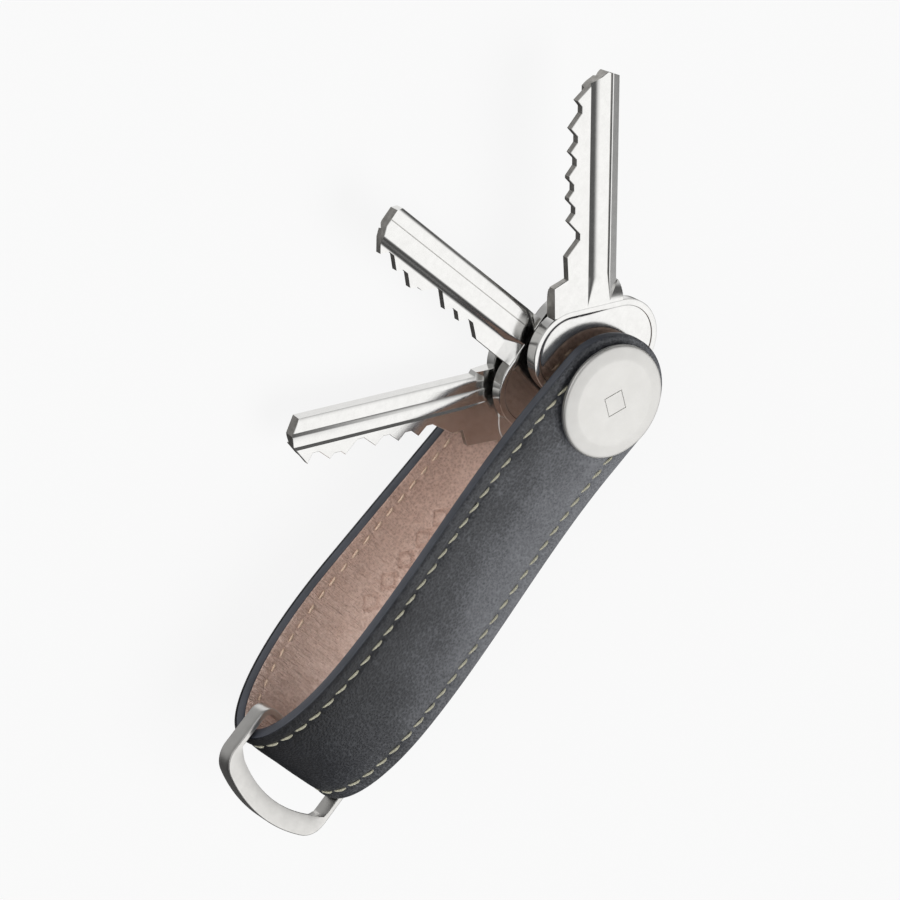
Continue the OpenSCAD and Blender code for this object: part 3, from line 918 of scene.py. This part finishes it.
def build_ring(material):
    """The band swept round its outline, and as wide at the outer end as the lip reaches."""
    edge, drawn_in = np.array(ring_outline(0)), np.array(ring_outline(0.45))
    lip_c = np.array([LIP_R + LIP_W - RING_L, 0])
    points = []
    for p, q in zip(edge, drawn_in):
        inward = (q - p) / np.linalg.norm(q - p)
        to = p - lip_c
        reach = -(to @ inward) - math.sqrt(max((to @ inward) ** 2 - (to @ to - LIP_R ** 2), 0))
        outside = to @ to > LIP_R ** 2 and p[0] < -3
        width = max(BAND_T, reach) if outside else BAND_T
        for inset, z in ring_section(width):
            points.append((*(p + inward * inset), z))
    rings = len(edge)
    count = len(points) // rings
    faces = ring_faces(rings, count)
    last = (rings - 1) * count
    faces += [(last + i, last + (i + 1) % count, (i + 1) % count, i) for i in range(count)]
    mesh = mesh_from("ring_band", points, faces)
    turn = Matrix.Rotation(math.radians(RING_YAW), 4, "Z") @ Matrix.Rotation(math.radians(RING_TILT), 4, "Y")
    mesh.transform(Matrix.Translation(Vector(RING_AT) * MM) @ turn)
    piece = make_object("ring_band", mesh, material, "d_ring", smooth_angle=42)
    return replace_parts(piece, "d_ring")


# ---------------------------------------------------------------- light, floor and camera

# Light from overhead, a bright band above the horizon, and softboxes as (direction, full within,
# fading out at, strength), with the angles in degrees
AMBIENT = 0.12
HORIZON = 0.5
SOFTBOXES = [
    ((0.13, -0.64, 0.76), 13, 44, 1.15),
    ((0.33, -0.93, 0.08), 8, 24, 0.3),
    ((-0.2, 0.85, 0.5), 18, 50, 0.7),
    ((0.7, 0.05, -0.7), 15, 42, 0.9),
    ((-0.1, 0.6, -0.8), 15, 45, 0.35),
    ((0, 0, -1), 20, 100, 0.1),
]

# Suns as (name, direction, strength, width in degrees)
LAMPS = [("key_light", (0.05, -0.45, 0.85), 1.6, 40), ("fill_light", (-0.35, 0.8, 0.4), 1.8, 60)]

FLOOR_HALF = 30                      # in metres, so that no low view sees past its edge
FLOOR_GLOW = 0.88


def build_world():
    """Surroundings that are dark apart from the lights, mostly seen as reflections in the metal."""
    world = bpy.data.worlds.new("studio")
    bpy.context.scene.world = world
    world.use_nodes = True
    tree = world.node_tree
    background = tree.nodes["Background"]
    place = tree.nodes.new("ShaderNodeTexCoord").outputs["Generated"]

    def add(kind, inputs, **settings):
        return add_node(tree, kind, inputs, **settings).outputs

    def softbox(direction, inner, outer, strength):
        """Light from within inner degrees of a direction, fading out at outer degrees."""
        toward = Vector(direction).normalized()
        dot = add("ShaderNodeVectorMath", {0: place, 1: toward}, operation="DOT_PRODUCT")["Value"]
        limits = {"Value": dot, "From Min": math.cos(math.radians(outer)),
                  "From Max": math.cos(math.radians(inner)), "To Max": strength}
        return add("ShaderNodeMapRange", limits, interpolation_type="SMOOTHSTEP")["Result"]

    height = add("ShaderNodeSeparateXYZ", {0: place})["Z"]
    rising = add("ShaderNodeMapRange", {"Value": height, "From Min": 0, "From Max": 0.1,
                                        "To Max": HORIZON}, interpolation_type="SMOOTHSTEP")["Result"]
    falling = add("ShaderNodeMapRange", {"Value": height, "From Min": 0.36, "From Max": 0.2},
                  interpolation_type="SMOOTHSTEP")["Result"]
    band = add("ShaderNodeMath", {0: rising, 1: falling}, operation="MULTIPLY")[0]
    total = add("ShaderNodeMath", {0: softbox((0, 0, 1), 30, 110, AMBIENT), 1: band}, operation="ADD")[0]
    for light in SOFTBOXES:
        total = add("ShaderNodeMath", {0: total, 1: softbox(*light)}, operation="ADD")[0]
    tree.links.new(total, background.inputs["Strength"])
    background.inputs["Color"].default_value = (1, 1, 1, 1)


def build_lamps():
    """Broad lamps that light the leather, left out of mirror reflections."""
    for name, direction, strength, width in LAMPS:
        data = bpy.data.lights.new(name, "SUN")
        data.energy = strength
        data.angle = math.radians(width)
        lamp = linked_object(name, data)
        lamp.rotation_euler = Vector(direction).to_track_quat("Z", "Y").to_euler()
        lamp.visible_glossy = False


def build_floor():
    """A plain pale floor that glows a little, so that it stays even, and casts no reflections."""
    a = FLOOR_HALF
    mesh = bpy.data.meshes.new("floor")
    mesh.from_pydata([(-a, -a, 0), (a, -a, 0), (a, a, 0), (-a, a, 0)], [], [(0, 1, 2, 3)])
    floor = linked_object("floor", mesh)
    sh = Shader("floor", Roughness=1.0, Specular_IOR_Level=0.0)
    sh.main.inputs["Base Color"].default_value = (0.06, 0.06, 0.06, 1)
    sh.main.inputs["Emission Color"].default_value = (1, 1, 1, 1)
    sh.main.inputs["Emission Strength"].default_value = FLOOR_GLOW
    mesh.materials.append(sh.material)
    floor.visible_glossy = False


def dress_cad_nodes(screw_metal):
    """Materials for the CAD nodes that stay as they are."""
    steel = brushed_metal("post_metal", (0.55, 0.54, 0.52), (1, 1, 0.2))
    rubber = dark_polymer("washer_polymer")
    nylon = dark_polymer("spacer_polymer")
    choices = {"back_screw": screw_metal, "post": steel, "front_eyelet": steel, "back_eyelet": steel,
               "front_washer": rubber, "back_washer": rubber, "spacer_front": nylon,
               "spacer_upper": nylon, "spacer_lower": nylon, "spacer_back": nylon}
    for node, material in choices.items():
        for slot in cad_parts[node].material_slots:
            slot.material = material


# The photograph's viewpoint: lens and sensor width, place, and turn in degrees
CAMERA_LENS = 74.44
CAMERA_SENSOR = 36
CAMERA_AT = (-41.57, 181.66, 222.45)
CAMERA_TURN = (-24.395, -31.251, -41.937)


def build_camera():
    data = bpy.data.cameras.new("camera")
    data.lens = CAMERA_LENS
    data.sensor_width = CAMERA_SENSOR
    data.clip_start = 0.01
    camera = linked_object("camera", data)
    camera.location = Vector(CAMERA_AT) * MM
    camera.rotation_euler = [math.radians(a) for a in CAMERA_TURN]
    bpy.context.scene.camera = camera


build_world()
build_lamps()
build_floor()
build_camera()
bpy.context.scene.view_settings.view_transform = "Standard"

build_outer_leather(leather_outer())
build_core(edge_paint())
build_lining(leather_lining())
build_outer_stitches(thread("thread_outer", (0.24, 0.23, 0.17), (0.42, 0.405, 0.31)))
build_lining_stitches(thread("thread_lining", (0.5, 0.36, 0.26), (0.72, 0.56, 0.44)))
cap_metal = blasted_metal()
build_cap(cap_metal)
build_keys()
build_ring(brushed_metal("ring_metal", (0.62, 0.61, 0.59), (0.15, 0.15, 1)))
dress_cad_nodes(cap_metal)
